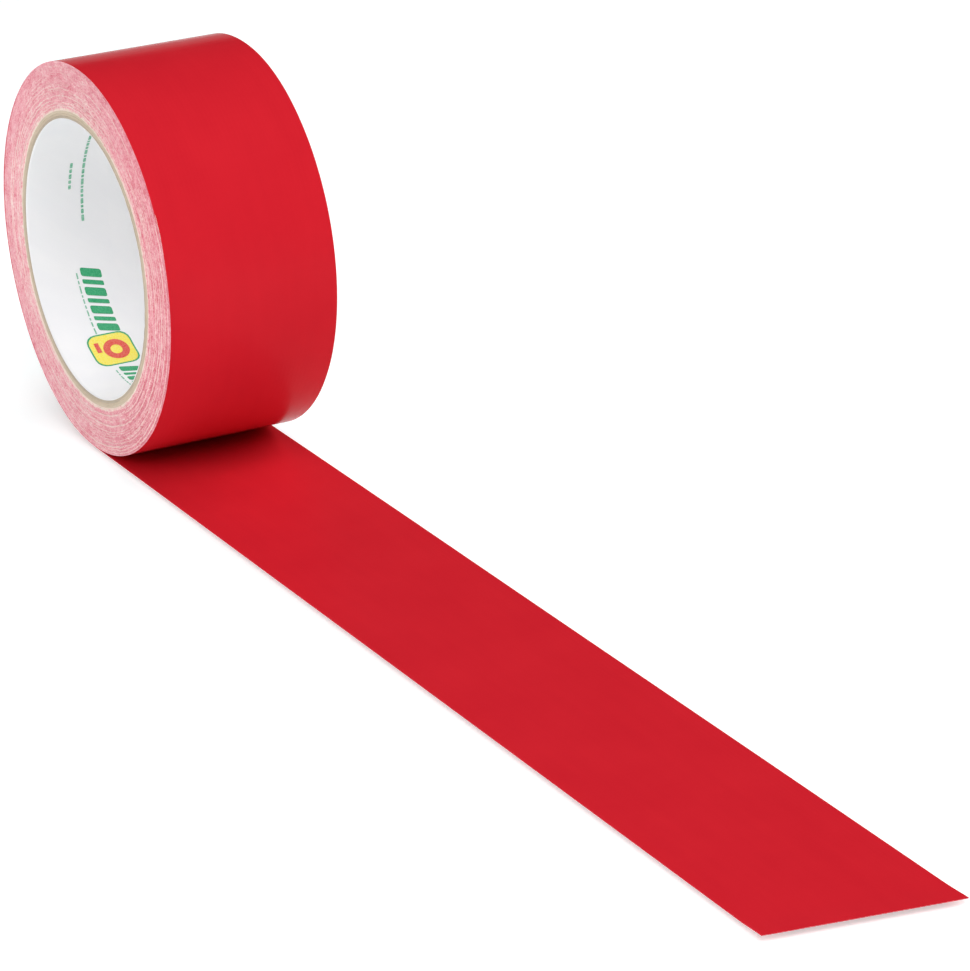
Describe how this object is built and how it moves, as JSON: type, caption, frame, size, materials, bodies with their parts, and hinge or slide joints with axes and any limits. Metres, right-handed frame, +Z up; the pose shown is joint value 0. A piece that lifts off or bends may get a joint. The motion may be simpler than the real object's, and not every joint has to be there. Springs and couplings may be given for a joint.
{
  "type": "duct tape roll",
  "caption": "Roll of red cloth-backed tape on a lined paperboard core, standing on edge with a flat tail of tape paid out from under it.",
  "frame": {"origin": "middle of the core's bore, on its axis, halfway across the tape's width", "axes": "+Y along the bore, +X along the paid-out tail towards its free end, +Z up"},
  "size_m": [0.4061, 0.049, 0.1073],
  "materials": {
    "liner_paper": "matte",
    "core_board": "matte",
    "wound_edge": "matte",
    "tape_film": "satin",
    "scrim_cloth": "matte",
    "tape_adhesive": "satin"
  },
  "bodies": {
    "outer_turn": {"outer_turn_film": "tape_film", "outer_turn_scrim": "scrim_cloth", "outer_turn_adhesive": "tape_adhesive"},
    "roll": {"core_liner": "liner_paper", "core_inner_ply": "core_board", "core_middle_ply": "core_board", "core_outer_ply": "core_board", "wound_inner_turns": "wound_edge", "wound_middle_turns": "wound_edge", "wound_outer_turns": "wound_edge"},
    "tail": {"tail_film": "tape_film", "tail_scrim": "scrim_cloth", "tail_adhesive": "tape_adhesive"},
    "free_end": {"end_film": "tape_film", "end_scrim": "scrim_cloth", "end_adhesive": "tape_adhesive"}
  },
  "joints": [
    {"name": "roll_turn", "type": "hinge", "parent": "outer_turn", "child": "roll", "pos_m": [0, 0, 0], "axis": [0, -1, 0], "range_deg": [-129, 360]},
    {"name": "tail_feed", "type": "slide", "parent": "outer_turn", "child": "tail", "axis": [1, 0, 0], "range_m": [-0.12, 0.336], "deforming": ["tail_film", "tail_scrim", "tail_adhesive"]},
    {"name": "end_lift", "type": "hinge", "parent": "tail", "child": "free_end", "pos_m": [0.2586, 0, -0.05349], "axis": [0, -1, 0], "range_deg": [0, 75]}
  ],
  "couplings": [
    {"joint": "tail_feed", "follows": "roll_turn", "m_per_rad": 0.0535}
  ]
}
